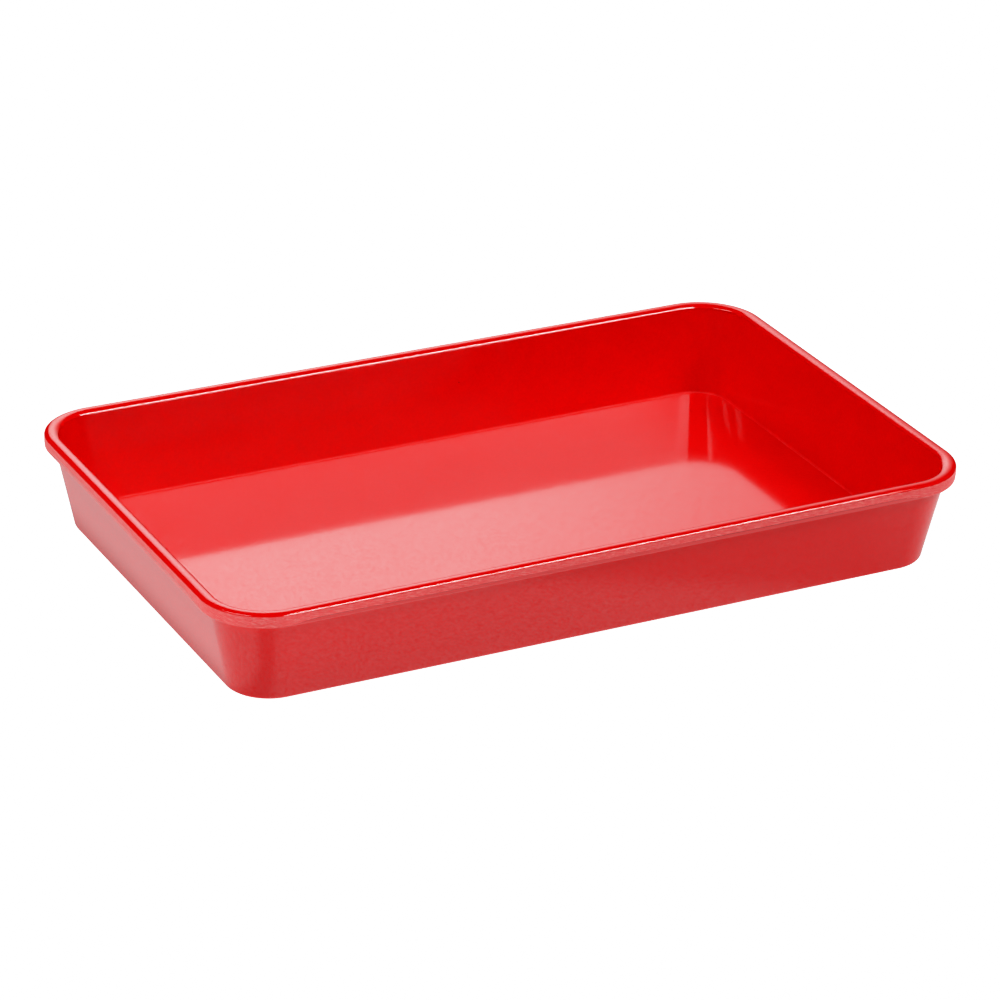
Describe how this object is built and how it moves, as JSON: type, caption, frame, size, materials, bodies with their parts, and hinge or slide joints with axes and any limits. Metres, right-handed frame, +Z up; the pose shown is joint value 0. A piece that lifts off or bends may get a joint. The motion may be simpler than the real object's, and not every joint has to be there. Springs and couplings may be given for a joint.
{
  "type": "developing tray",
  "caption": "Shallow rectangular tray with drafted walls, rounded corners and an overhanging crowned rim, for holding developer over a photographic print.",
  "frame": {"origin": "centre of the flat face the tray stands on", "axes": "+X along the tray's length, +Y across its width, +Z up out of the open side"},
  "size_m": [0.3, 0.1884, 0.0381],
  "materials": {
    "tray_body": "glossy moulded melamine with a lightly sanded outer rim edge"
  },
  "bodies": {
    "root": {"tray": "tray_body"}
  },
  "joints": []
}
